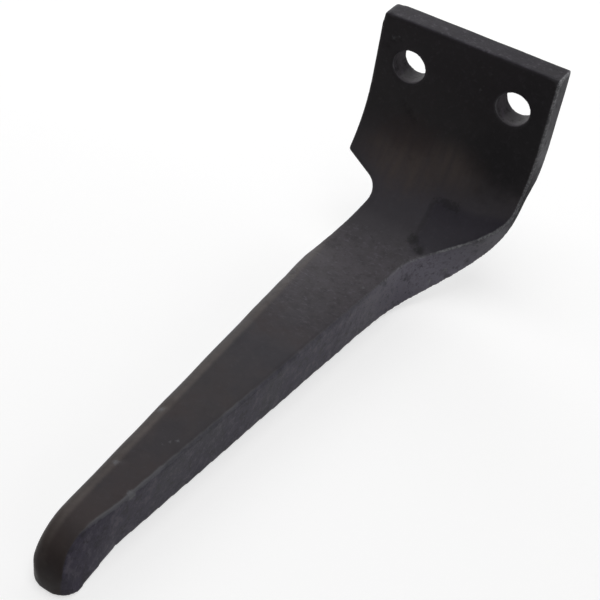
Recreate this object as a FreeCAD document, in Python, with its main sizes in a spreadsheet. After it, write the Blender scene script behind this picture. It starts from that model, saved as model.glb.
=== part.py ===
import FreeCAD, Part
import math
import os

import Sketcher
from FreeCAD import Placement, Rotation, Vector

# Power harrow tine: one forging that bends from a two-hole flange into a long tapered blade.
# It lies on the blade's back with the flange standing up. The origin is midway between the
# bolt holes on the mounting face. +X runs along the hole row, +Y points out of the mounting
# face and +Z points to the flange's free edge. All sizes are in millimetres.

NODE = "tine"

SIZES = {
    "flange_width": 100,
    "flange_thickness": 15,
    "flange_flat": 35,
    "hole_diameter": 18,
    "hole_spacing": 60,
    "hole_to_free_edge": 25,
    "bend_inner_radius": 70,
    "bend_outer_radius": 94,
    "heel_inset": 2.8,
    "heel_start_angle": 15,
    "shoulder_start_angle": 32.4,
    "shoulder_end_angle": 80.8,
    "outer_shoulder_start_angle": 34,
    "outer_shoulder_run_out": 5,
    "notch_start_angle": 37,
    "notch_slant_angle": 26.6,
    "notch_depth": 25,
    "notch_radius": 12,
    "waist_slant_angle": 12.7,
    "blade_thickness": 27,
    "blade_root_width": 46.3,
    "blade_root_shift": 14.8,
    "blade_tip_width": 16.8,
    "blade_tip_shift": 21.9,
    "blade_left_radius": 7,
    "nose_length": 35,
    "nose_lean": 4,
    "nose_flare": 6,
    "nose_radius": 10,
    "worn_edge_radius": 1.2,
    "overall_length": 320,
    "tip_brow_radius": 24,
}

# The outline of the bend is set at even steps, and so is the run-out of its outer shoulder on
# to the blade. Each step's section stands proud of the bar by a margin, which the side profile
# then trims away, and cuts reach clear of the bar.
BEND_STEPS = 18
RUN_OUT_STEPS = 3
MARGIN = "{blade_thickness} / 4"
CLEAR = "{flange_width} / 2"
BISECTOR = 45
TOUCH = 0.01

doc = FreeCAD.newDocument("power_harrow_tine")

sheet = doc.addObject("Spreadsheet::Sheet", "Sizes")
for row, (name, size) in enumerate(SIZES.items(), start=1):
    sheet.set(f"A{row}", name)
    sheet.set(f"B{row}", str(size))
    sheet.setAlias(f"B{row}", name)

body = doc.addObject("PartDesign::Body", "Tine")
body.Label = NODE
doc.recompute()


# Formulas

ALIASES = {name: f"Sizes.{name}" for name in SIZES}


def bound(formula):
    """The expression for a formula that names its sizes in braces."""
    return formula.format_map(ALIASES)


def value(formula):
    """The number that a formula gives at the present sizes."""
    result = body.evalExpression(bound(formula))
    return float(getattr(result, "Value", result))


def ramp(angle, start, end):
    """A smooth step from 0 to 1 as an angle of the bend passes from start to end."""
    share = f"min(1; max(0; (({angle}) - ({start})) / (({end}) - ({start}))))"
    return f"(1 - cos(180 * {share})) / 2"


def blend(first, last, share):
    """A value that goes from first to last as a share goes from 0 to 1."""
    return f"({first}) + (({last}) - ({first})) * ({share})"


FREE_EDGE = "{hole_to_free_edge}"
BEND_AXIS_HEIGHT = "({hole_to_free_edge} - {flange_flat})"
BLADE_FACE = f"({BEND_AXIS_HEIGHT} - {{bend_inner_radius}})"
BLADE_BACK = f"({BLADE_FACE} - {{blade_thickness}})"
FLANGE_FACE = "(-{flange_thickness})"
BEND_AXIS_DEPTH = f"({FLANGE_FACE} - {{bend_inner_radius}})"
HALF_WIDTH = "{flange_width} / 2"
ROOT_LEFT = "(-{blade_root_shift} - {blade_root_width} / 2)"
ROOT_RIGHT = "(-{blade_root_shift} + {blade_root_width} / 2)"
BLADE_LENGTH = f"({{overall_length}} + {BEND_AXIS_DEPTH})"
TIP_LEFT = "(-{blade_tip_shift} - {blade_tip_width} / 2)"
TIP_RIGHT = "(-{blade_tip_shift} + {blade_tip_width} / 2)"


def along_blade(root, tip, beyond_bend):
    """A straight edge of the blade at a distance past the end of the bend."""
    return blend(root, tip, f"({beyond_bend}) / {BLADE_LENGTH}")


# Sketches

def sketch_on(role, name):
    """A sketch on one of the body's own origin planes."""
    plane = next(item for item in body.Origin.OriginFeatures if item.Role == role)
    sketch = body.newObject("Sketcher::SketchObject", name)
    sketch.AttachmentSupport = (plane, [""])
    sketch.MapMode = "FlatFace"
    return sketch


def constrain(sketch, formula, kind, *where):
    """Add a sized constraint and bind it to its formula."""
    index = sketch.addConstraint(Sketcher.Constraint(kind, *where, value(formula)))
    sketch.setExpression(f"Constraints[{index}]", bound(formula))


def pin(sketch, geometry, end, across, up):
    """Hold one point of a sketch at its two formulas, measured from the sketch's origin."""
    constrain(sketch, across, "DistanceX", -1, 1, geometry, end)
    constrain(sketch, up, "DistanceY", -1, 1, geometry, end)


def round_corner(sketch, corner, before, after, run_in, run_out):
    """Join two runs by an arc that touches both and has the corner's radius."""
    across, up, radius_formula = corner
    place = Vector(value(across), value(up), 0)
    back = (before - place).normalize()
    ahead = (after - place).normalize()
    radius = value(radius_formula)
    half = back.getAngle(ahead) / 2
    centre = place + (back + ahead).normalize() * (radius / math.sin(half))
    leave = place + back * (radius / math.tan(half)) - centre
    meet = place + ahead * (radius / math.tan(half)) - centre
    turns_left = back.cross(ahead).z < 0
    first, last = (leave, meet) if turns_left else (meet, leave)
    circle = Part.Circle(centre, Vector(0, 0, 1), radius)
    start = math.atan2(first.y, first.x)
    end = math.atan2(last.y, last.x)
    arc = sketch.addGeometry(Part.ArcOfCircle(circle, start, end))
    near, far = (1, 2) if turns_left else (2, 1)
    sketch.addConstraint(Sketcher.Constraint("Tangent", run_in, 2, arc, near))
    sketch.addConstraint(Sketcher.Constraint("Tangent", arc, far, run_out, 1))
    constrain(sketch, radius_formula, "Radius", arc)
    point = sketch.addGeometry(Part.Point(place), True)
    pin(sketch, point, 1, across, up)
    sketch.addConstraint(Sketcher.Constraint("PointOnObject", point, 1, run_in))
    sketch.addConstraint(Sketcher.Constraint("PointOnObject", point, 1, run_out))


def outline(sketch, corners):
    """A closed outline of straight runs. Each corner is (across, up, radius or None)."""
    count = len(corners)
    places = [Vector(value(across), value(up), 0) for across, up, _ in corners]
    inset = []
    for index, (place, corner) in enumerate(zip(places, corners)):
        back = (places[index - 1] - place).normalize()
        ahead = (places[(index + 1) % count] - place).normalize()
        reach = value(corner[2]) / math.tan(back.getAngle(ahead) / 2) if corner[2] else 0
        inset.append((place + back * reach, place + ahead * reach))
    runs = []
    for index in range(count):
        run = Part.LineSegment(inset[index][1], inset[(index + 1) % count][0])
        runs.append(sketch.addGeometry(run))
    for index, corner in enumerate(corners):
        run_in, run_out = runs[index - 1], runs[index]
        if corner[2]:
            round_corner(sketch, corner, places[index - 1], places[(index + 1) % count], run_in, run_out)
        else:
            sketch.addConstraint(Sketcher.Constraint("Coincident", run_in, 2, run_out, 1))
            pin(sketch, run_out, 1, corner[0], corner[1])


def section(name, left_inner, right_inner, left_outer, right_outer, thickness):
    """A slice across the bar. Its upright is the depth behind the inner face."""
    sketch = sketch_on("XY_Plane", name)
    low = f"-{MARGIN}"
    high = f"{thickness} + {MARGIN}"
    proud = f"{MARGIN} / ({thickness})"
    outline(sketch, [
        (blend(left_inner, left_outer, f"-{proud}"), low, None),
        (blend(right_inner, right_outer, f"-{proud}"), low, None),
        (blend(right_inner, right_outer, f"1 + {proud}"), high, None),
        (blend(left_inner, left_outer, f"1 + {proud}"), high, None),
    ])
    return sketch


def place_on_bend(sketch, angle, depth="0"):
    """Stand a section across the bend at an angle past the flange, and slide it down the blade."""
    sketch.AttachmentOffset = Placement(Vector(0, 0, 0), Rotation(Vector(-1, 0, 0), 1))
    across = f"{BEND_AXIS_DEPTH} + {{bend_inner_radius}} * cos({angle}) - ({depth})"
    height = f"{BEND_AXIS_HEIGHT} - {{bend_inner_radius}} * sin({angle})"
    sketch.setExpression(".AttachmentOffset.Base.y", bound(across))
    sketch.setExpression(".AttachmentOffset.Base.z", bound(height))
    sketch.setExpression(".AttachmentOffset.Rotation.Angle", bound(angle))


# Blocks of the outline: flange, bend and blade, each a little thicker than the bar

flange_sketch = sketch_on("XZ_Plane", "flange_outline")
outline(flange_sketch, [
    (f"-{HALF_WIDTH}", BEND_AXIS_HEIGHT, None),
    (HALF_WIDTH, BEND_AXIS_HEIGHT, None),
    (HALF_WIDTH, FREE_EDGE, None),
    (f"-{HALF_WIDTH}", FREE_EDGE, None),
])
flange = body.newObject("PartDesign::Pad", "flange_block")
flange.Profile = flange_sketch
flange.setExpression("Length", bound("{flange_thickness}"))


ONE_DEGREE = "({bend_inner_radius} * pi / 180)"
OUTER_SHOULDER_END = f"(90 + {{outer_shoulder_run_out}} / {ONE_DEGREE})"


def bar_section(name, angle, thickness, beyond_bend="0", lean="0", flare="0"):
    """The bar's section at an angle of the bend, or at a distance past its end."""
    run = f"{beyond_bend} - {ONE_DEGREE} * (90 - {angle})"
    travel = f"{angle} + {beyond_bend} / {ONE_DEGREE}"
    blade_edge = along_blade(ROOT_RIGHT, TIP_RIGHT, run)
    heel_share = ramp(angle, "{heel_start_angle}", "{outer_shoulder_start_angle}")
    heel = f"({HALF_WIDTH} - {{heel_inset}} * {heel_share})"
    inner = ramp(travel, "{shoulder_start_angle}", "{shoulder_end_angle}")
    outer = ramp(travel, "{outer_shoulder_start_angle}", OUTER_SHOULDER_END)
    sketch = section(
        name,
        f"-{HALF_WIDTH}",
        blend(HALF_WIDTH, f"{blade_edge} - {lean}", inner),
        f"-{heel}",
        blend(heel, f"{blade_edge} + {flare}", outer),
        thickness,
    )
    place_on_bend(sketch, angle, beyond_bend)
    return sketch


def loft(name, sections, ruled):
    """A solid through a row of sections."""
    feature = body.newObject("PartDesign::AdditiveLoft", name)
    feature.Profile = (sections[0], [""])
    feature.Sections = [(item, [""]) for item in sections[1:]]
    feature.Ruled = ruled
    return feature


bend_sections = []
for step in range(BEND_STEPS + 1):
    share = step / BEND_STEPS
    thickness = f"({blend('{flange_thickness}', '{blade_thickness}', share)})"
    bend_sections.append(bar_section(f"bend_section_{step}", f"{90 * share}", thickness))
loft("bend_block", bend_sections, ruled=False)

run_out_sections = []
for step in range(RUN_OUT_STEPS + 1):
    beyond = f"({{outer_shoulder_run_out}} * {step} / {RUN_OUT_STEPS})"
    run_out_sections.append(bar_section(f"run_out_section_{step}", "90", "{blade_thickness}", beyond))
loft("run_out_block", run_out_sections, ruled=False)

NOSE_START = f"({BLADE_LENGTH} - {{nose_length}})"
blade_sections = [
    bar_section("blade_root_section", "90", "{blade_thickness}", "{outer_shoulder_run_out}"),
    bar_section("nose_start_section", "90", "{blade_thickness}", NOSE_START),
    bar_section("blade_tip_section", "90", "{blade_thickness}", BLADE_LENGTH, "{nose_lean}", "{nose_flare}"),
]
loft("blade_block", blade_sections, ruled=True)


# Side profile: everything outside the bent bar's own side view is cut away

def through_cut(name, sketch):
    """Cut a sketch's regions through the whole bar, both ways from its plane."""
    feature = body.newObject("PartDesign::Pocket", name)
    feature.Profile = sketch
    feature.Type = "ThroughAll"
    feature.Midplane = True
    doc.recompute()
    return feature


profile_sketch = sketch_on("YZ_Plane", "side_profile")
outline(profile_sketch, [
    (f"-{{overall_length}} - {CLEAR}", f"{BLADE_BACK} - {CLEAR}", None),
    (CLEAR, f"{BLADE_BACK} - {CLEAR}", None),
    (CLEAR, f"{FREE_EDGE} + {CLEAR}", None),
    (f"-{{overall_length}} - {CLEAR}", f"{FREE_EDGE} + {CLEAR}", None),
])
outline(profile_sketch, [
    ("0", FREE_EDGE, None),
    (FLANGE_FACE, FREE_EDGE, None),
    (FLANGE_FACE, BLADE_FACE, "{bend_inner_radius}"),
    ("-{overall_length}", BLADE_FACE, "{tip_brow_radius}"),
    ("-{overall_length}", BLADE_BACK, None),
    ("0", BLADE_BACK, "{bend_outer_radius}"),
])
through_cut("side_profile_cut", profile_sketch)


# Left wall of the blade, seen from above, carried back into the bend as far as the waist

WAIST_DEPTH = f"({BEND_AXIS_DEPTH} + {{bend_inner_radius}} / 2)"
wall_sketch = sketch_on("XY_Plane", "blade_left_wall")
outline(wall_sketch, [
    (f"-{HALF_WIDTH} - {CLEAR}", WAIST_DEPTH, None),
    (f"-{HALF_WIDTH} - {CLEAR}", f"-{{overall_length}} - {CLEAR}", None),
    (along_blade(ROOT_LEFT, TIP_LEFT, f"{BLADE_LENGTH} + {CLEAR}"), f"-{{overall_length}} - {CLEAR}", None),
    (along_blade(ROOT_LEFT, TIP_LEFT, f"{BEND_AXIS_DEPTH} - {WAIST_DEPTH}"), WAIST_DEPTH, None),
])
left_wall = through_cut("blade_left_wall_cut", wall_sketch)


def blade_face_edge(shape, side):
    """The straight edge of the blade's upper face on its left (-1) or its right (1)."""
    height = value(BLADE_FACE)
    found = []
    for number, edge in enumerate(shape.Edges, start=1):
        box = edge.BoundBox
        level = max(abs(box.ZMin - height), abs(box.ZMax - height)) < TOUCH
        if level and box.YLength > box.XLength:
            found.append((side * box.Center.x, f"Edge{number}"))
    return max(found)[1]


def round_edges(name, base, edges, radius):
    """Round some edges, and the edges that run on smoothly from them."""
    feature = body.newObject("PartDesign::Fillet", name)
    feature.Base = (base, edges)
    feature.setExpression("Radius", bound(radius))
    doc.recompute()
    return feature


left_edge = blade_face_edge(left_wall.Shape, -1)
left_round = round_edges("blade_left_round", left_wall, [left_edge], "{blade_left_radius}")
right_edge = blade_face_edge(left_round.Shape, 1)
round_edges("blade_right_round", left_round, [right_edge], "{worn_edge_radius}")


# Rounded nose, seen from above

NOSE_LEFT = f"({along_blade(ROOT_LEFT, TIP_LEFT, NOSE_START)} - {{worn_edge_radius}})"
NOSE_RIGHT = f"({along_blade(ROOT_RIGHT, TIP_RIGHT, NOSE_START)} + {{worn_edge_radius}})"
nose_sketch = sketch_on("XY_Plane", "nose")
outline(nose_sketch, [
    (f"{TIP_LEFT} - {CLEAR}", "{nose_length} - {overall_length}", None),
    (f"{TIP_LEFT} - {CLEAR}", f"-{{overall_length}} - {CLEAR}", None),
    (f"{TIP_RIGHT} + {CLEAR}", f"-{{overall_length}} - {CLEAR}", None),
    (f"{TIP_RIGHT} + {CLEAR}", "{nose_length} - {overall_length}", None),
    (NOSE_RIGHT, "{nose_length} - {overall_length}", None),
    (f"{TIP_RIGHT} + {{nose_flare}}", "-{overall_length}", "{nose_radius}"),
    (TIP_LEFT, "-{overall_length}", "{nose_radius}"),
    (NOSE_LEFT, "{nose_length} - {overall_length}", None),
])
through_cut("nose_cut", nose_sketch)


# Notch under the flange's left corner, seen square to the middle of the bend

CORNER_DEPTH = f"({BEND_AXIS_DEPTH} + {{bend_inner_radius}} * cos({{notch_start_angle}}))"
CORNER_HEIGHT = f"({BEND_AXIS_HEIGHT} - {{bend_inner_radius}} * sin({{notch_start_angle}}))"
CORNER_UP = f"(({CORNER_DEPTH} + {CORNER_HEIGHT}) / sqrt(2))"
NOTCH_UP = f"({CORNER_UP} - ({HALF_WIDTH} - {{notch_depth}}) * tan({{notch_slant_angle}}))"
WAIST_END = f"(({BEND_AXIS_DEPTH} + {BLADE_FACE}) / sqrt(2) - {CLEAR})"

notch_sketch = sketch_on("XY_Plane", "left_notch")
notch_sketch.AttachmentOffset = Placement(Vector(0, 0, 0), Rotation(Vector(1, 0, 0), BISECTOR))
outline(notch_sketch, [
    (f"-{HALF_WIDTH} - {CLEAR}", f"{CORNER_UP} + {CLEAR} * tan({{notch_slant_angle}})", None),
    ("-{notch_depth}", NOTCH_UP, "{notch_radius}"),
    (f"-{{notch_depth}} - ({NOTCH_UP} - {WAIST_END}) * tan({{waist_slant_angle}})", WAIST_END, None),
    (f"-{HALF_WIDTH} - {CLEAR}", WAIST_END, None),
])
left_notch = through_cut("left_notch_cut", notch_sketch)


def notch_edges(shape):
    """The edges of the bend's inner face that run round the notch and up the left side."""
    axis = Vector(0, value(BEND_AXIS_DEPTH), value(BEND_AXIS_HEIGHT))
    radius = value("{bend_inner_radius}")
    found = []
    for number, edge in enumerate(shape.Edges, start=1):
        middle = edge.valueAt((edge.FirstParameter + edge.LastParameter) / 2)
        on_face = abs(math.hypot(middle.y - axis.y, middle.z - axis.z) - radius) < TOUCH
        if on_face and middle.x < 0 and edge.BoundBox.ZLength > TOUCH:
            found.append(f"Edge{number}")
    return found


round_edges("notch_round", left_notch, notch_edges(left_notch.Shape), "{worn_edge_radius}")


# Two bolt holes

hole_sketch = sketch_on("XZ_Plane", "bolt_holes")
for side in (-1, 1):
    across = f"{side} * {{hole_spacing}} / 2"
    circle = Part.Circle(Vector(value(across), 0, 0), Vector(0, 0, 1), value("{hole_diameter}") / 2)
    hole = hole_sketch.addGeometry(circle)
    pin(hole_sketch, hole, 3, across, "0")
    constrain(hole_sketch, "{hole_diameter}", "Diameter", hole)
holes = through_cut("bolt_hole_cut", hole_sketch)

body.Tip = holes
doc.recompute()
for item in doc.Objects:
    if {"Invalid", "Error"} & set(item.State):
        raise RuntimeError(f"{item.Name} failed: {item.State}")
shape = body.Shape
if shape.isNull() or not shape.isValid() or len(shape.Solids) != 1:
    raise RuntimeError("the tine is not one valid solid")

os.makedirs("parts", exist_ok=True)
shape.exportStep(f"parts/{body.Label}.step")
print(body.Label, "volume", round(shape.Volume), "faces", len(shape.Faces))
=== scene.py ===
import bmesh
import bpy
import numpy as np
from mathutils import Matrix, Vector, noise


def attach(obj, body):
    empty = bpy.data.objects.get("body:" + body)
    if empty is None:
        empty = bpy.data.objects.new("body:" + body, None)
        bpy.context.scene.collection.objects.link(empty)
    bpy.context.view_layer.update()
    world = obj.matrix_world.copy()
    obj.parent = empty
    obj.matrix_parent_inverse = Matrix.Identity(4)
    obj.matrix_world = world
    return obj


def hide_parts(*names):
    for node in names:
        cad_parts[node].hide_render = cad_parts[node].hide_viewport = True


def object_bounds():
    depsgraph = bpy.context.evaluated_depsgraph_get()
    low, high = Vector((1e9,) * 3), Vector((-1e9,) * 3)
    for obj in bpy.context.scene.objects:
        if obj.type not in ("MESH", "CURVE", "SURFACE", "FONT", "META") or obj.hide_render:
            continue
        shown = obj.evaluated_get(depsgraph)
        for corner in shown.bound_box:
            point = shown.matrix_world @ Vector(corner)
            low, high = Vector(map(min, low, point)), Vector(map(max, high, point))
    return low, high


bl_info = {
    "name": "Power harrow tine",
    "version": (1, 0, 0),
    "blender": (4, 5, 0),
    "location": "View3D > Sidebar > Tine",
    "description": "Dresses a forged power harrow tine in its worn black coat and sets it on a pale floor",
    "category": "Object",
}

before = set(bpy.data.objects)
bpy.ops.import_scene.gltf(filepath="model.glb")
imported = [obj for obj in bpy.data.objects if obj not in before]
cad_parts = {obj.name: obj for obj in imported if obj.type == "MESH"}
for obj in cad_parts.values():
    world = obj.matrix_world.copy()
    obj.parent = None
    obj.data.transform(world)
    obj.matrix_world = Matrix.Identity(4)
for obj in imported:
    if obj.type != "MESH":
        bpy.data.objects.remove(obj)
CAD_LOW, CAD_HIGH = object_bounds()

NODE = "tine"
BODY = "root"
SLOT = "forged_steel"

# The camera that the photograph was fitted to, in the tine's own frame
CAMERA_PLACE = Vector((0.1925, -0.5716, 0.3431))
CAMERA_RIGHT = Vector((0.84793, 0.51594, 0.12173))
CAMERA_VIEW = Vector((-0.32439, 0.68664, -0.65062))
CAMERA_LENS = 78.0
CAMERA_SENSOR = 36.0

# Softboxes: name of the setting, direction from the tine's middle
LAMPS = (
    ("above", Vector((0.0, 0.0, 1.0))),
    ("behind", Vector((0.0, 0.87, 0.5))),
    ("left_behind", Vector((-0.6, 0.7, 0.35))),
    ("left_above", Vector((-0.7, 0.0, 0.7))),
    ("right_behind", Vector((0.75, 0.6, 0.3))),
    ("right_front", Vector((0.80, -0.55, 0.2))),
)

# Coat along the run from the flange's free edge to the tip: place as a share of COAT_LENGTH, colour. The
# colours hold the coat's own tone with painted shade through the bend and a painted sheen at the blade's
# root
COAT_START = -0.012
COAT_LENGTH = 0.424
FACE_TONE_AND_LIGHT = (
    (0.00, (0.020, 0.017, 0.0195)),
    (0.05, (0.0187, 0.0158, 0.0182)),
    (0.13, (0.028, 0.0255, 0.027)),
    (0.19, (0.047, 0.0425, 0.046)),
    (0.26, (0.050, 0.046, 0.054)),
    (0.30, (0.044, 0.040, 0.047)),
    (0.38, (0.078, 0.072, 0.079)),
    (0.43, (0.087, 0.080, 0.088)),
    (0.48, (0.071, 0.065, 0.072)),
    (0.54, (0.056, 0.051, 0.057)),
    (0.61, (0.046, 0.042, 0.048)),
    (0.70, (0.046, 0.041, 0.044)),
    (0.80, (0.048, 0.041, 0.044)),
    (0.87, (0.047, 0.040, 0.043)),
    (0.94, (0.048, 0.039, 0.039)),
    (0.96, (0.058, 0.047, 0.045)),
    (1.00, (0.034, 0.027, 0.026)),
)
# Along the flank the colours hold painted highlights and painted shade where its faces turn towards or
# away from the lamps, over the flank's own lighter tone
FLANK_TONE_AND_LIGHT = (
    (0.00, (0.135, 0.134, 0.141)),
    (0.06, (0.145, 0.143, 0.150)),
    (0.10, (0.220, 0.219, 0.230)),
    (0.14, (0.060, 0.059, 0.062)),
    (0.18, (0.008, 0.008, 0.009)),
    (0.21, (0.050, 0.049, 0.053)),
    (0.24, (0.125, 0.122, 0.137)),
    (0.28, (0.092, 0.086, 0.105)),
    (0.31, (0.148, 0.141, 0.172)),
    (0.35, (0.200, 0.190, 0.230)),
    (0.39, (0.165, 0.156, 0.190)),
    (0.42, (0.120, 0.112, 0.142)),
    (0.46, (0.079, 0.072, 0.095)),
    (0.52, (0.055, 0.048, 0.070)),
    (0.61, (0.042, 0.037, 0.057)),
    (0.80, (0.038, 0.033, 0.051)),
    (0.97, (0.044, 0.038, 0.058)),
)

# How far sharp edges are rubbed bare along the same run, a share that also sets the painted edge highlight
EDGE_WEAR_AND_HIGHLIGHT = (
    (0.00, 0.80),
    (0.15, 0.90),
    (0.22, 0.50),
    (0.30, 1.00),
    (0.42, 0.35),
    (0.66, 0.35),
    (0.76, 0.80),
    (0.91, 0.70),
    (0.95, 0.10),
)

# Colours of the coat that no setting holds
FREE_EDGE = (0.020, 0.017, 0.024)
SMEAR = (0.034, 0.025, 0.025)
CORNER_SHADE = (0.014, 0.013, 0.0145)
BROWN_CLOUD = (0.052, 0.040, 0.040)
PURPLE_CLOUD = (0.034, 0.033, 0.040)
CROWN_WEAR_AND_SHEEN = (0.122, 0.105, 0.095)
BORE_WALL = (0.080, 0.073, 0.081)
PALE_SPECK = (0.125, 0.113, 0.135)
HOLLOW = (0.007, 0.006, 0.007)
EDGE_HIGHLIGHT = (0.42, 0.42, 0.43)

# Finish of the coat
COAT_ROUGHNESS = 0.48
COAT_SHEEN = 0.12
GRAIN_DEPTH = 0.0003
GRAIN_STRENGTH = 0.6

# Noises of the coat: waves to the metre, detail, roughness
CLOUDS = (38.0, 4.0, 0.6)
MOTTLE = (170.0, 3.0, 0.6)
STREAKS = (260.0, 2.0, 0.5)
FLECKS = (450.0, 2.0, 0.5)
DASHES = (620.0, 3.0, 0.6)
GRAIN = (700.0, 4.0, 0.65)
SPECKLE = (1500.0, 2.0, 0.5)

# Where zones start or end along the run from the bolt holes towards the tip, in metres
HOLES_END = (0.03, 0.07)
SHOULDER_START = (0.07, 0.10)
SCALY_END = (0.075, 0.110)
DISH_START = (0.085, 0.094)
DISH_END = (0.124, 0.140)
BORDER_START = (0.089, 0.095)
BORDER_END = (0.120, 0.130)
UPPER_START = (0.12, 0.145)
UPPER_END = (0.185, 0.25)
BEND_END = (0.15, 0.20)
CROWN_START = (0.13, 0.18)
CROWN_END = (0.380, 0.425)
BLADE_START = (0.17, 0.24)

# Where zones start or end from left to right, in metres
DISH_LEFT = (0.0045, 0.0100)
BORDER_LEFT = (0.0050, 0.0064)
BORDER_RIGHT = (0.0072, 0.0090)
OUTER_SIDE = (0.041, 0.046)

# The dished patch starts higher up from here to the right, by a share of the distance
DISH_TURN = 0.030
DISH_SLOPE = 0.4

# Bores: middles, and the distance from a middle over which the coat of the wall fades in
BORES = ((-0.030, 0.0, 0.0), (0.030, 0.0, 0.0))
BORE_RIM = (0.0096, 0.0091)

# Two dark pits in the dished patch, in millimetres
LEFT_PIT = (7.2, -53.3, -72.4)
RIGHT_PIT = (12.9, -56.8, -74.1)

# Ragged blots: middle and reach along each axis in millimetres, softness of the border, strength
WARM_BLOTS = (
    ((-17.0, -27.0, -47.0), (19.0, 30.0, 12.0), 0.7, 1.0),
    ((7.0, -23.0, -41.0), (17.0, 30.0, 9.0), 0.8, 1.0),
)
SMEAR_BLOTS = (
    ((-20.0, -19.0, -34.0), (16.0, 20.0, 9.0), 0.5, 0.45),
)
# Painted shade: dark blots in the bend's right corner and on the flange's right side
CORNER_SHADE_BLOTS = (
    ((34.0, -18.0, -28.0), (19.0, 20.0, 15.0), 0.7, 0.75),
    ((46.0, -15.0, -2.0), (18.0, 20.0, 30.0), 0.5, 0.6),
)
DARK_BLOTS = (
    (LEFT_PIT, (2.6, 3.0, 2.6), 0.5, 1.0),
    (RIGHT_PIT, (3.0, 2.2, 2.2), 0.5, 1.0),
    ((15.0, -33.0, -57.0), (6.0, 2.2, 2.2), 0.5, 0.7),
)

# Dents in the forging: middle, radius, depth, all in millimetres
DENTS = (
    ((-40.5, -15.0, 11.5), 1.8, 0.35),
    ((-37.0, -15.0, 13.5), 1.4, 0.25),
    ((-43.0, -15.0, 7.5), 1.6, 0.25),
    ((-23.2, -16.4, -23.8), 2.6, 0.45),
    ((-20.0, -17.0, -27.0), 1.6, 0.25),
    ((-28.0, -16.0, -20.5), 1.8, 0.25),
    ((-27.5, -226.0, -80.3), 2.0, 0.35),
    ((-24.0, -263.0, -80.0), 2.0, 0.35),
    ((26.9, -47.2, -88.0), 1.8, 0.50),
    ((21.9, -53.9, -94.5), 1.8, 0.50),
    ((-8.0, -272.0, -81.3), 1.8, 0.30),
    (LEFT_PIT, 2.6, 0.30),
    (RIGHT_PIT, 2.4, 0.35),
)

# Spots rubbed bare: middle and radius in millimetres, strength
BARE_SPOTS = (
    ((50.0, -14.5, 22.7), 2.2, 0.8),
    ((10.6, -15.0, 3.7), 1.2, 0.35),
    ((-5.2, -17.6, -29.0), 1.2, 0.35),
    ((-41.5, -15.0, 13.0), 1.6, 0.45),
    ((-38.5, -15.0, 14.5), 1.2, 0.40),
    ((-28.8, -228.5, -80.5), 2.2, 0.60),
    ((-25.5, -266.0, -80.3), 2.0, 0.60),
    ((-14.0, -242.6, -80.0), 1.1, 0.45),
    ((-11.5, -240.0, -80.0), 1.3, 0.50),
    ((-15.5, -246.0, -80.0), 1.0, 0.40),
    ((-9.4, -276.0, -81.0), 2.6, 1.00),
    ((-11.0, -281.0, -82.0), 1.8, 0.60),
    ((26.9, -47.2, -86.5), 1.3, 0.70),
    ((21.9, -53.9, -92.5), 1.3, 0.70),
    ((2.0, -96.0, -80.0), 1.3, 0.55),
    ((-2.0, -92.0, -80.0), 1.0, 0.45),
    ((-15.0, -300.0, -93.0), 1.6, 0.50),
)

# Corner of the flange that is rounded through its thickness, and how far its rounding reaches
ROUND_CORNER = (-0.050, 0.0, 0.025)
ROUND_REACH = 0.007

# Waves and pits of the forging: waves to the metre, and how strong a wave has to be to leave a pit
WAVE_SCALE = 45.0
PIT_SCALE = 260.0
PIT_START = 0.3

# Ripples across the blade's upper part: waves to the metre, stretch, and where they fade in and out
RIPPLE_SCALE = 150.0
RIPPLE_STRETCH = (0.5, 1.0, 1.0)
RIPPLE_BELOW = (-0.19, -0.11)
RIPPLE_ABOVE = (-0.04, -0.08)

# A sharp edge is where the skin stands out this far after being relaxed this many times
EDGE_HEIGHT = 0.0004
EDGE_PASSES = 12

# Width of the lighter crown along the blade's left edge, partly rubbed coat and partly painted sheen, and
# of the rows that its outline is read in
CROWN_WIDTH = 0.0074
OUTLINE_ROW = 0.002


# Settings

class ForgingSettings(bpy.types.PropertyGroup):
    """The tine's surface."""

    spacing: bpy.props.FloatProperty(
        name="Mesh spacing", description="Distance between the points of the forging's skin",
        default=0.00085, unit="LENGTH")
    softening: bpy.props.IntProperty(
        name="Edge softening", description="How many times sharp edges are relaxed", default=3)
    rounding: bpy.props.IntProperty(
        name="Corner rounding", description="How many times the rounded corner is relaxed", default=20)
    unevenness: bpy.props.FloatProperty(
        name="Unevenness", description="Depth of the broad waves that the forging dies leave",
        default=0.00022, unit="LENGTH")
    ripple: bpy.props.FloatProperty(
        name="Ripple", description="Depth of the ripples across the blade's upper part",
        default=0.00016, unit="LENGTH")
    scale_depth: bpy.props.FloatProperty(
        name="Scale depth", description="Depth of the small pits where forging scale came away",
        default=0.00012, unit="LENGTH")
    warm_coat: bpy.props.FloatVectorProperty(
        name="Warm coat", description="Colour where the coat is thin over brown scale", subtype="COLOR",
        default=(0.080, 0.064, 0.059))
    # Painted shade: the darker, cooler patch where the bend's surface faces more to the front than the
    # modelled bend does
    dish_shade_coat: bpy.props.FloatVectorProperty(
        name="Cool coat", description="Colour of the dished patch inside the bend", subtype="COLOR",
        default=(0.030, 0.027, 0.036))
    # Painted fill light: the hidden back and underside are painted lighter than the front, so that their
    # shape shows in their shade
    hidden_side_fill_coat: bpy.props.FloatVectorProperty(
        name="Plain coat", description="Colour of the sides that rest on other parts or on the ground",
        subtype="COLOR", default=(0.036, 0.033, 0.036))
    dark: bpy.props.FloatVectorProperty(
        name="Dark scale", description="Colour of blots and pits", subtype="COLOR",
        default=(0.014, 0.013, 0.014))
    # Rubbed edges are partly bare steel and partly painted highlight, brighter where they face the lamps
    # on the right
    bare: bpy.props.FloatVectorProperty(
        name="Bare steel", description="Colour of rubbed edges", subtype="COLOR",
        default=(0.13, 0.13, 0.14))


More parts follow.
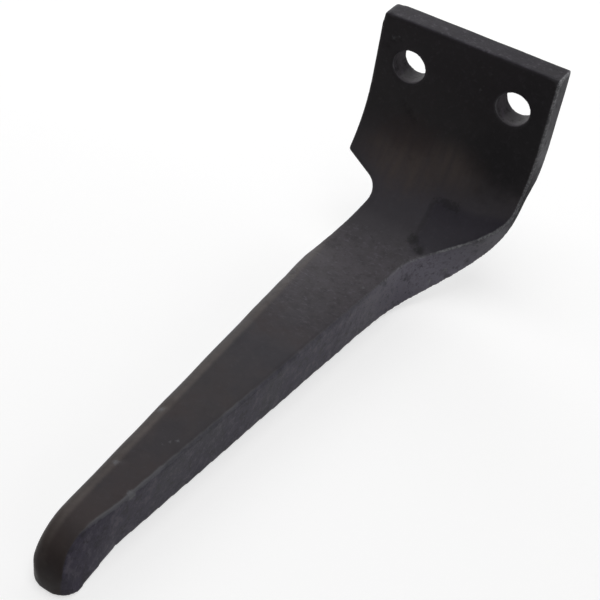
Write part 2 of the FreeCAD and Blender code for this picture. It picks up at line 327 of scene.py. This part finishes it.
class StageSettings(bpy.types.PropertyGroup):
    """The floor and the lights."""

    floor: bpy.props.FloatVectorProperty(
        name="Floor", description="Colour of the floor", subtype="COLOR", default=(0.45, 0.45, 0.45))
    glow: bpy.props.FloatProperty(
        name="Floor glow", description="Light that the floor seems to give, to look white",
        default=0.63, subtype="FACTOR")
    floor_size: bpy.props.FloatProperty(
        name="Floor size", description="Side of the floor", default=8.0, unit="LENGTH")
    lamp_size: bpy.props.FloatProperty(
        name="Lamp size", description="Side of each softbox", default=0.9, unit="LENGTH")
    lamp_distance: bpy.props.FloatProperty(
        name="Lamp distance", description="Distance of each softbox from the tine's middle",
        default=1.3, unit="LENGTH")
    above: bpy.props.FloatProperty(
        name="Above", description="Power of the softbox above", default=7.5, unit="POWER")
    behind: bpy.props.FloatProperty(
        name="Behind", description="Power of the softbox behind", default=3.2, unit="POWER")
    left_behind: bpy.props.FloatProperty(
        name="Left behind", description="Power of the softbox behind on the left",
        default=5.0, unit="POWER")
    left_above: bpy.props.FloatProperty(
        name="Left above", description="Power of the softbox above on the left",
        default=3.1, unit="POWER")
    right_behind: bpy.props.FloatProperty(
        name="Right behind", description="Power of the softbox behind on the right",
        default=2.9, unit="POWER")
    right_front: bpy.props.FloatProperty(
        name="Right front", description="Power of the softbox in front on the right",
        default=2.6, unit="POWER")


# Shader expressions

class Value:
    """A socket of a material that maths can be written on."""

    def __init__(self, shader, socket):
        self.shader = shader
        self.socket = socket

    def maths(self, operation, *operands):
        """One step of maths on values and numbers."""
        return self.shader.node("ShaderNodeMath", {"operation": operation}, dict(enumerate(operands)))[0]

    def __add__(self, other):
        return self.maths("ADD", self, other)

    def __sub__(self, other):
        return self.maths("SUBTRACT", self, other)

    def __mul__(self, other):
        return self.maths("MULTIPLY", self, other)

    def __truediv__(self, other):
        return self.maths("DIVIDE", self, other)

    def __radd__(self, other):
        return self.maths("ADD", other, self)

    def __rsub__(self, other):
        return self.maths("SUBTRACT", other, self)

    def __rmul__(self, other):
        return self.maths("MULTIPLY", other, self)

    def __rtruediv__(self, other):
        return self.maths("DIVIDE", other, self)

    def at_least(self, other):
        """The larger of two values."""
        return self.maths("MAXIMUM", self, other)

    def at_most(self, other):
        """The smaller of two values."""
        return self.maths("MINIMUM", self, other)


class Shader:
    """A material's node tree."""

    def __init__(self, name):
        self.material = bpy.data.materials.new(name)
        self.material.use_nodes = True
        self.tree = self.material.node_tree
        self.tree.nodes.clear()

    def node(self, kind, settings=None, sockets=None):
        """A node with its settings made first, then its sockets. Gives its outputs."""
        made = self.tree.nodes.new(kind)
        for name, setting in (settings or {}).items():
            if name == "stops":
                ramp = made.color_ramp.elements
                while len(ramp) < len(setting):
                    ramp.new(1.0)
                for stop, (place, colour) in zip(ramp, setting):
                    stop.position = place
                    stop.color = (*colour, 1.0)
            else:
                setattr(made, name, setting)
        for name, given in (sockets or {}).items():
            socket = made.inputs[name]
            if isinstance(given, Value):
                self.tree.links.new(given.socket, socket)
            elif socket.type == "RGBA" and len(given) == 3:
                socket.default_value = (*given, 1.0)
            else:
                socket.default_value = given
        return [Value(self, output) for output in made.outputs]

    def step(self, value, low, high, first=0.0, last=1.0):
        """A smooth step from first to last as a value goes from low to high."""
        settings = {"interpolation_type": "SMOOTHSTEP", "clamp": True}
        sockets = {"Value": value, 1: low, 2: high, 3: first, 4: last}
        return self.node("ShaderNodeMapRange", settings, sockets)[0]

    def fade(self, value, low, high):
        """A smooth step from 1 to 0 as a value goes from low to high."""
        return self.step(value, low, high, 1.0, 0.0)

    def between(self, value, start, end):
        """A share that rises over one range of a value and falls over another."""
        return self.step(value, *start) * self.fade(value, *end)

    def mix(self, share, first, last):
        """A colour between two colours."""
        settings = {"data_type": "RGBA", "clamp_factor": True}
        return self.node("ShaderNodeMix", settings, {0: share, 6: first, 7: last})[2]

    def ramp(self, share, stops):
        """A colour along a row of stops."""
        return self.node("ShaderNodeValToRGB", {"stops": stops}, {0: share})[0]

    def vector(self, operation, first, second):
        """Vector maths on two vectors. Gives the vector and the number."""
        return self.node("ShaderNodeVectorMath", {"operation": operation}, {0: first, 1: second})[:2]

    def noise(self, place, scale, detail, roughness):
        """Soft noise at a number of waves to the metre."""
        sockets = {"Vector": place, "Scale": scale, "Detail": detail, "Roughness": roughness}
        return self.node("ShaderNodeTexNoise", {}, sockets)[0]

    def blot(self, place, middle, reach, soft, wobble):
        """A ragged blot round a point, reaching a number of millimetres along each axis."""
        away = self.vector("SUBTRACT", place, tuple(part / 1000 for part in middle))[0]
        scaled = self.vector("MULTIPLY", away, tuple(1000 / part for part in reach))[0]
        spread = self.vector("DISTANCE", scaled, (0.0, 0.0, 0.0))[1]
        return self.fade(spread + wobble, 1.0 - soft, 1.0 + soft)

    def blots(self, place, rows, wobble):
        """The strongest at each place of some ragged blots."""
        strongest, *others = [
            strength * self.blot(place, middle, reach, soft, wobble)
            for middle, reach, soft, strength in rows]
        for other in others:
            strongest = strongest.at_least(other)
        return strongest

    def finish(self, surface):
        """The material with its surface."""
        self.node("ShaderNodeOutputMaterial", {}, {"Surface": surface})
        return self.material


# Coat

class Skin:
    """The forging's skin as the coat reads it: places, directions, shares, noises and zones."""

    def __init__(self, shader):
        self.shader = shader
        outputs = shader.node("ShaderNodeTexCoord")
        self.place = outputs[3]
        self.facing = shader.node("ShaderNodeSeparateXYZ", {}, {0: outputs[1]})
        self.axes = shader.node("ShaderNodeSeparateXYZ", {}, {0: self.place})
        self.run = (self.axes[1] + self.axes[2]) * -1.0
        self.along = (self.run - COAT_START) / COAT_LENGTH

        self.edge = self.share("edge")
        self.dent = self.share("dent")
        self.spot = self.share("spot")
        self.crown = self.share("crown")

        self.clouds = shader.noise(self.place, *CLOUDS)
        self.mottle = shader.noise(self.place, *MOTTLE)
        self.grain = shader.noise(self.place, *GRAIN)
        self.speckle = shader.noise(self.place, *SPECKLE)
        self.dashes = shader.noise(self.stretched((0.55, 1.0, 1.0)), *DASHES)
        self.ragged = 0.9 * (self.mottle - 0.5) + 0.5 * (self.clouds - 0.5)

        self.on_flank = shader.step(self.facing[0], 0.45, 0.60)
        self.off_flank = 1.0 - self.on_flank
        self.inner = self.off_flank * shader.step(self.facing[2] - self.facing[1], 0.05, 0.35)
        self.on_top = shader.step(self.facing[2], 0.6, 0.9) * shader.step(self.axes[2], 0.015, 0.022)
        self.upper = shader.between(self.run, UPPER_START, UPPER_END)
        flat = self.stretched((1.0, 0.0, 1.0))
        left, right = [shader.vector("DISTANCE", flat, middle)[1] for middle in BORES]
        self.bore = shader.step(left.at_most(right), *BORE_RIM)
        coarse = self.on_flank.at_least(self.upper).at_least(0.6 * self.on_top)
        self.coarse = coarse.at_least(self.bore).at_least(0.16)

    def share(self, name):
        """A share that the mesh holds at its points."""
        return self.shader.node("ShaderNodeAttribute", {"attribute_name": name})[2]

    def stretched(self, factors):
        """The place with each of its parts times a factor."""
        return self.shader.vector("MULTIPLY", self.place, factors)[0]


def ground_coat(skin, settings):
    """The coat along the face and the flank, with its painted sheen and shade, hidden sides painted
    lighter as painted fill light, and a dark free edge.
    """
    shader = skin.shader
    wandering = skin.along + 0.03 * (skin.clouds - 0.5)
    coat = shader.mix(skin.inner, tuple(settings.hidden_side_fill_coat), shader.ramp(wandering, FACE_TONE_AND_LIGHT))
    coat = shader.mix(skin.on_flank, coat, shader.ramp(wandering, FLANK_TONE_AND_LIGHT))
    return shader.mix(skin.on_top, coat, FREE_EDGE)


def bend_patches(skin, settings, coat):
    """A warm patch with faint streaks and a smear down the bend, and painted shade in the corner beside it
    and on the flange's right.
    """
    shader = skin.shader
    streaks = shader.noise(skin.stretched((1.0, 0.12, 0.12)), *STREAKS)
    warm = shader.blots(skin.place, WARM_BLOTS, skin.ragged) * (0.36 + 1.2 * (streaks - 0.25))
    smear = shader.blots(skin.place, SMEAR_BLOTS, skin.ragged)
    # Painted shade in the bend's right corner and on the flange's right
    corner = shader.blots(skin.place, CORNER_SHADE_BLOTS, skin.ragged)
    coat = shader.mix(warm * skin.inner, coat, tuple(settings.warm_coat))
    coat = shader.mix(smear * skin.inner, coat, SMEAR)
    return shader.mix(corner * skin.inner, coat, CORNER_SHADE)


def dished_patch(skin, settings, coat):
    """Painted shade on the dished patch inside the bend, darker and cooler, with a darker left border and
    dark blots.
    """
    shader = skin.shader
    wobble = skin.mottle - 0.5
    reach = skin.run + DISH_SLOPE * (skin.axes[0] - DISH_TURN).at_least(0.0) + 0.005 * wobble
    across = skin.axes[0] + 0.003 * wobble
    dish_shade = shader.step(across, *DISH_LEFT) * shader.step(reach, *DISH_START)
    dish_shade = dish_shade * shader.fade(skin.run, *DISH_END) * skin.inner
    # Painted shade over the dished patch, with its darker left border below
    coat = shader.mix(0.85 * dish_shade, coat, tuple(settings.dish_shade_coat))
    border = shader.between(across, BORDER_LEFT, BORDER_RIGHT)
    border = border * shader.between(skin.run, BORDER_START, BORDER_END)
    blots = shader.blots(skin.place, DARK_BLOTS, 3.4 * (skin.grain - 0.5) + 1.8 * wobble)
    return shader.mix(0.6 * blots.at_least(0.5 * border) * skin.inner, coat, tuple(settings.dark))


def blade_clouds(skin, coat):
    """Brown and purple clouds down the blade, and the lighter crown along its left edge: partly rubbed
    coat, partly painted sheen.
    """
    shader = skin.shader
    blade = shader.step(skin.run, *BLADE_START)
    brown = blade * skin.off_flank * shader.step(skin.clouds, 0.48, 0.66, 0.0, 0.45)
    purple = blade * shader.step(skin.clouds, 0.52, 0.36, 0.0, 0.40)
    crown = skin.crown * skin.inner * shader.between(skin.run, CROWN_START, CROWN_END)
    coat = shader.mix(brown, coat, BROWN_CLOUD)
    coat = shader.mix(purple, coat, PURPLE_CLOUD)
    return shader.mix(0.65 * crown * (0.3 + 1.2 * skin.mottle), coat, CROWN_WEAR_AND_SHEEN)


def specks_and_pits(skin, settings, coat):
    """Light specks and dark pits, strongest on the flank and on the blade's upper part."""
    shader = skin.shader
    dark = tuple(settings.dark)
    flecks = shader.noise(skin.place, *FLECKS)
    patchy = (0.5 + 0.8 * skin.on_flank) * skin.coarse
    pitted = skin.coarse - 0.5 * skin.upper * skin.off_flank
    layers = (
        (patchy, skin.mottle, 0.50, 0.70, 0.35, PALE_SPECK),
        (pitted, skin.mottle, 0.48, 0.30, 0.50, dark),
        (skin.coarse, flecks, 0.58, 0.74, 0.34, PALE_SPECK),
        (pitted, flecks, 0.40, 0.30, 0.45, dark),
        (skin.coarse, skin.grain, 0.58, 0.74, 0.35, PALE_SPECK),
        (pitted, skin.grain, 0.42, 0.28, 0.40, dark),
        (skin.upper, skin.dashes, 0.55, 0.70, 0.50, PALE_SPECK),
    )
    for share, pattern, low, high, strength, colour in layers:
        coat = shader.mix(share * shader.step(pattern, low, high, 0.0, strength), coat, colour)
    hollow = skin.dent * skin.off_flank * shader.step(skin.grain, 0.35, 0.60)
    return shader.mix(hollow * shader.step(skin.run, *BEND_END, 0.5, 0.0), coat, HOLLOW)


def rubbed_edges(skin, settings, coat):
    """Edges and spots rubbed bare, edges in patches and mostly where they face right, with a painted
    highlight along edges that face the lamps on the right.
    """
    shader = skin.shader
    stops = [(place, (share, share, share)) for place, share in EDGE_WEAR_AND_HIGHLIGHT]
    outer = shader.step(skin.axes[0], *OUTER_SIDE)
    wear_and_highlight = shader.ramp(skin.along, stops) * shader.step(skin.clouds, 0.36, 0.56, 0.45, 1.0)
    # Stronger where edges face right: painted highlight from the lamps on that side
    wear_and_highlight = wear_and_highlight * shader.step(skin.facing[0], 0.1, 0.4, 0.25, 1.0)
    wear_and_highlight = wear_and_highlight * outer.at_least(shader.step(skin.run, *HOLES_END, 0.3, 1.0))
    rubbed = wear_and_highlight * shader.step(skin.edge + 0.5 * (skin.grain - 0.5), 0.35, 0.85)
    rubbed = rubbed.at_least(shader.step(skin.spot + 0.8 * (skin.grain - 0.5), 0.15, 0.75))
    # Painted highlight: a bright line where edges face the lamps on the right
    bright = rubbed * outer.at_least(shader.step(skin.run, *HOLES_END))
    bright = bright * shader.step(skin.facing[0], 0.1, 0.4) * shader.fade(skin.run, *BEND_END)
    bright = bright * shader.step(skin.run, *SHOULDER_START, 0.85, 0.55)
    bright = bright * shader.step(skin.grain, 0.38, 0.62, 0.1, 0.9)
    colour = shader.mix(rubbed, coat, tuple(settings.bare))
    return shader.mix(bright, colour, EDGE_HIGHLIGHT)


def coat_material(settings):
    """Thin black coat over forged steel: brown where it is thin, rubbed bare on the edges, with painted
    sheen, highlights and shade in its colours.
    """
    shader = Shader(SLOT)
    skin = Skin(shader)
    coat = ground_coat(skin, settings)
    coat = bend_patches(skin, settings, coat)
    coat = dished_patch(skin, settings, coat)
    coat = blade_clouds(skin, coat)
    coat = shader.mix(skin.bore, coat, BORE_WALL)
    coat = specks_and_pits(skin, settings, coat)
    colour = rubbed_edges(skin, settings, coat)
    scaly = skin.on_flank * shader.fade(skin.run, *SCALY_END)
    unevenness = 0.18 * (skin.speckle - 0.5) + 0.12 * (skin.clouds - 0.5)
    height = skin.coarse * (0.5 * skin.grain + 0.2 * skin.speckle + 0.5 * skin.dashes * skin.upper)
    bump = shader.node("ShaderNodeBump", {}, {
        "Strength": GRAIN_STRENGTH,
        "Distance": GRAIN_DEPTH,
        "Height": height,
    })[0]
    surface = shader.node("ShaderNodeBsdfPrincipled", {}, {
        "Base Color": colour,
        "Roughness": COAT_ROUGHNESS + unevenness + 0.45 * scaly,
        "Specular IOR Level": COAT_SHEEN,
        "Normal": bump,
    })[0]
    return shader.finish(surface)


# Forging

def evaluated_mesh(piece):
    """The mesh that a piece's modifiers give."""
    graph = bpy.context.evaluated_depsgraph_get()
    return bpy.data.meshes.new_from_object(piece.evaluated_get(graph), depsgraph=graph)


def points_of(mesh):
    """The mesh's points as rows of three numbers."""
    points = np.empty(len(mesh.vertices) * 3)
    mesh.vertices.foreach_get("co", points)
    return points.reshape(-1, 3)


def normals_of(mesh):
    """The direction that the skin faces at each point."""
    normals = np.empty(len(mesh.vertices) * 3)
    mesh.vertices.foreach_get("normal", normals)
    return normals.reshape(-1, 3)


def set_points(mesh, points):
    """Moves the mesh's points."""
    mesh.vertices.foreach_set("co", points.ravel())
    mesh.update()


def set_shares(mesh, name, shares):
    """A share from 0 to 1 at each point, for the material to read."""
    layer = mesh.attributes.new(name, "FLOAT", "POINT")
    layer.data.foreach_set("value", np.clip(shares, 0.0, 1.0).astype(np.float32))


def relaxed(mesh, passes):
    """The mesh's points after each is moved half way to the mean of its neighbours, a number of times."""
    edges = np.empty(len(mesh.edges) * 2, dtype=np.int64)
    mesh.edges.foreach_get("vertices", edges)
    first, last = edges.reshape(-1, 2).T
    count = np.bincount(edges, minlength=len(mesh.vertices))[:, None]
    points = points_of(mesh)
    for _ in range(passes):
        total = np.zeros_like(points)
        np.add.at(total, first, points[last])
        np.add.at(total, last, points[first])
        points = (points + total / count) / 2
    return points


def skin_of(node, spacing):
    """An even, closed skin over a node's solid."""
    source = node.data.copy()
    joined = bmesh.new()
    joined.from_mesh(source)
    bmesh.ops.remove_doubles(joined, verts=joined.verts, dist=spacing / 100)
    joined.to_mesh(source)
    joined.free()
    blank = bpy.data.objects.new("blank", source)
    bpy.context.scene.collection.objects.link(blank)
    remesh = blank.modifiers.new("skin", "REMESH")
    remesh.mode = "VOXEL"
    remesh.voxel_size = spacing
    skin = evaluated_mesh(blank)
    bpy.data.objects.remove(blank)
    bpy.data.meshes.remove(source)
    return skin


def smooth_share(values, low, high):
    """A smooth step from 0 to 1 as values go from low to high."""
    share = np.clip((values - low) / (high - low), 0.0, 1.0)
    return share * share * (3.0 - 2.0 * share)


def noise_at(points, scale):
    """Soft noise at a number of waves to the metre, at each point."""
    return np.array([noise.noise(Vector(point) * scale) for point in points])


def nearness(points, middle, radius):
    """A share that falls from 1 at a middle to 0 round it, with middle and radius in millimetres."""
    distance = np.linalg.norm(points * 1000 - np.array(middle), axis=1)
    return np.exp(-(distance / radius) ** 2)


def softened(mesh, settings):
    """The mesh's points with soft edges and the corner of the flange rounded."""
    corner = np.linalg.norm((points_of(mesh) - ROUND_CORNER) * (1.0, 0.0, 1.0), axis=1)
    rounded = smooth_share(corner, ROUND_REACH, ROUND_REACH / 2)[:, None]
    points = relaxed(mesh, settings.softening)
    return points + rounded * (relaxed(mesh, settings.rounding) - points)


def forged_height(points, settings):
    """How far waves, pits, ripples and dents lift each point."""
    height = settings.unevenness * noise_at(points, WAVE_SCALE)
    height -= settings.scale_depth * np.maximum(0.0, noise_at(points, PIT_SCALE) - PIT_START)
    rippled = smooth_share(points[:, 1], *RIPPLE_BELOW) * smooth_share(points[:, 1], *RIPPLE_ABOVE)
    height += settings.ripple * rippled * noise_at(points * RIPPLE_STRETCH, RIPPLE_SCALE)
    for middle, radius, depth in DENTS:
        height -= depth / 1000 * nearness(points, middle, radius)
    return height


def edge_share(mesh):
    """How sharp the skin's edge is at each point."""
    outward = points_of(mesh) - relaxed(mesh, EDGE_PASSES)
    return np.einsum("ij,ij->i", outward, normals_of(mesh)) / EDGE_HEIGHT


def crown_share(points):
    """How strongly the crown's wear and painted sheen show at each point, from its distance to the outline
    on the left.
    """
    rows = np.round((points[:, 1] - points[:, 1].min()) / OUTLINE_ROW).astype(int)
    outline = np.full(rows.max() + 1, np.inf)
    np.minimum.at(outline, rows, points[:, 0])
    inset = (points[:, 0] - outline[rows]) / CROWN_WIDTH
    return smooth_share(inset, 1.15, 0.80) * (0.1 + 0.9 * inset)


class TINE_OT_forging(bpy.types.Operator):
    """Give the tine the soft edges, the forged unevenness, the dents and the coat of the real one"""

    bl_idname = "tine.forging"
    bl_label = "Forging"

    def execute(self, context):
        settings = context.scene.tine_forging
        mesh = skin_of(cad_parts[NODE], settings.spacing)
        set_points(mesh, softened(mesh, settings))
        points = points_of(mesh)
        edges = edge_share(mesh)
        dents = [nearness(points, middle, radius) for middle, radius, _ in DENTS]
        spots = [strength * nearness(points, middle, radius) for middle, radius, strength in BARE_SPOTS]
        set_points(mesh, points + normals_of(mesh) * forged_height(points, settings)[:, None])
        set_shares(mesh, "crown", crown_share(points))
        set_shares(mesh, "edge", edges)
        set_shares(mesh, "dent", np.max(dents, axis=0))
        set_shares(mesh, "spot", np.max(spots, axis=0))
        mesh.polygons.foreach_set("use_smooth", np.ones(len(mesh.polygons), dtype=bool))
        mesh.materials.clear()
        mesh.materials.append(coat_material(settings))
        piece = bpy.data.objects.new("tine_forging", mesh)
        context.scene.collection.objects.link(piece)
        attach(piece, BODY)
        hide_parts(NODE)
        return {"FINISHED"}


# Stage

def floor_material(colour, glow):
    """A pale floor that looks white to the camera and still shows the shadow."""
    shader = Shader("floor")
    path = shader.node("ShaderNodeLightPath")
    camera, glossy, transmission = path[0], path[3], path[6]
    seen = camera.at_least(glossy).at_least(transmission)
    lift = shader.mix(seen, (0.0, 0.0, 0.0), (glow, glow, glow))
    surface = shader.node("ShaderNodeBsdfPrincipled", {}, {
        "Base Color": tuple(colour),
        "Roughness": 0.9,
        "Emission Color": lift,
        "Emission Strength": 1.0,
    })[0]
    return shader.finish(surface)


def softbox(name, place, target, width, power):
    """A square lamp that faces a point."""
    lamp = bpy.data.lights.new(name, "AREA")
    lamp.shape = "SQUARE"
    lamp.size = width
    lamp.energy = power
    box = bpy.data.objects.new(name, lamp)
    box.location = place
    box.rotation_euler = (target - place).to_track_quat("-Z", "Y").to_euler()
    bpy.context.scene.collection.objects.link(box)


def make_camera():
    """The camera at the photograph's place."""
    lens = bpy.data.cameras.new("camera")
    lens.lens = CAMERA_LENS
    lens.sensor_width = CAMERA_SENSOR
    camera = bpy.data.objects.new("camera", lens)
    up = CAMERA_RIGHT.cross(CAMERA_VIEW)
    turn = Matrix((CAMERA_RIGHT, up, -CAMERA_VIEW)).transposed()
    camera.matrix_world = Matrix.Translation(CAMERA_PLACE) @ turn.to_4x4()
    bpy.context.scene.collection.objects.link(camera)
    bpy.context.scene.camera = camera


def make_world():
    """A dark room, so that only the softboxes and the floor light the tine."""
    world = bpy.data.worlds.new("room")
    world.use_nodes = True
    world.node_tree.nodes["Background"].inputs["Color"].default_value = (0.0, 0.0, 0.0, 1.0)
    bpy.context.scene.world = world


class TINE_OT_stage(bpy.types.Operator):
    """Set out the pale floor, the soft lamps and the camera"""

    bl_idname = "tine.stage"
    bl_label = "Stage"

    def execute(self, context):
        settings = context.scene.tine_stage
        half = settings.floor_size / 2
        mesh = bpy.data.meshes.new("floor")
        corners = [(-half, -half, 0), (half, -half, 0), (half, half, 0), (-half, half, 0)]
        mesh.from_pydata(corners, [], [(0, 1, 2, 3)])
        mesh.materials.append(floor_material(settings.floor, settings.glow))
        floor = bpy.data.objects.new("floor", mesh)
        floor.location.z = CAD_LOW.z
        context.scene.collection.objects.link(floor)
        middle = (CAD_LOW + CAD_HIGH) / 2
        for name, direction in LAMPS:
            place = middle + direction * settings.lamp_distance
            softbox(name, place, middle, settings.lamp_size, getattr(settings, name))
        make_world()
        make_camera()
        context.scene.view_settings.view_transform = "Standard"
        return {"FINISHED"}


class TINE_PT_panel(bpy.types.Panel):
    """Lists the tine's pieces and their settings"""

    bl_idname = "TINE_PT_panel"
    bl_label = "Power harrow tine"
    bl_space_type = "VIEW_3D"
    bl_region_type = "UI"
    bl_category = "Tine"

    def draw(self, context):
        for operator, settings in ((TINE_OT_forging, "tine_forging"), (TINE_OT_stage, "tine_stage")):
            box = self.layout.box()
            box.operator(operator.bl_idname)
            group = getattr(context.scene, settings)
            for name in group.bl_rna.properties.keys():
                if name not in ("rna_type", "name"):
                    box.prop(group, name)


CLASSES = (ForgingSettings, StageSettings, TINE_OT_forging, TINE_OT_stage, TINE_PT_panel)


def register():
    for item in CLASSES:
        bpy.utils.register_class(item)
    bpy.types.Scene.tine_forging = bpy.props.PointerProperty(type=ForgingSettings)
    bpy.types.Scene.tine_stage = bpy.props.PointerProperty(type=StageSettings)


def unregister():
    del bpy.types.Scene.tine_stage
    del bpy.types.Scene.tine_forging
    for item in reversed(CLASSES):
        bpy.utils.unregister_class(item)


def main():
    register()
    bpy.ops.tine.forging()
    bpy.ops.tine.stage()


if __name__ == "__main__":
    main()
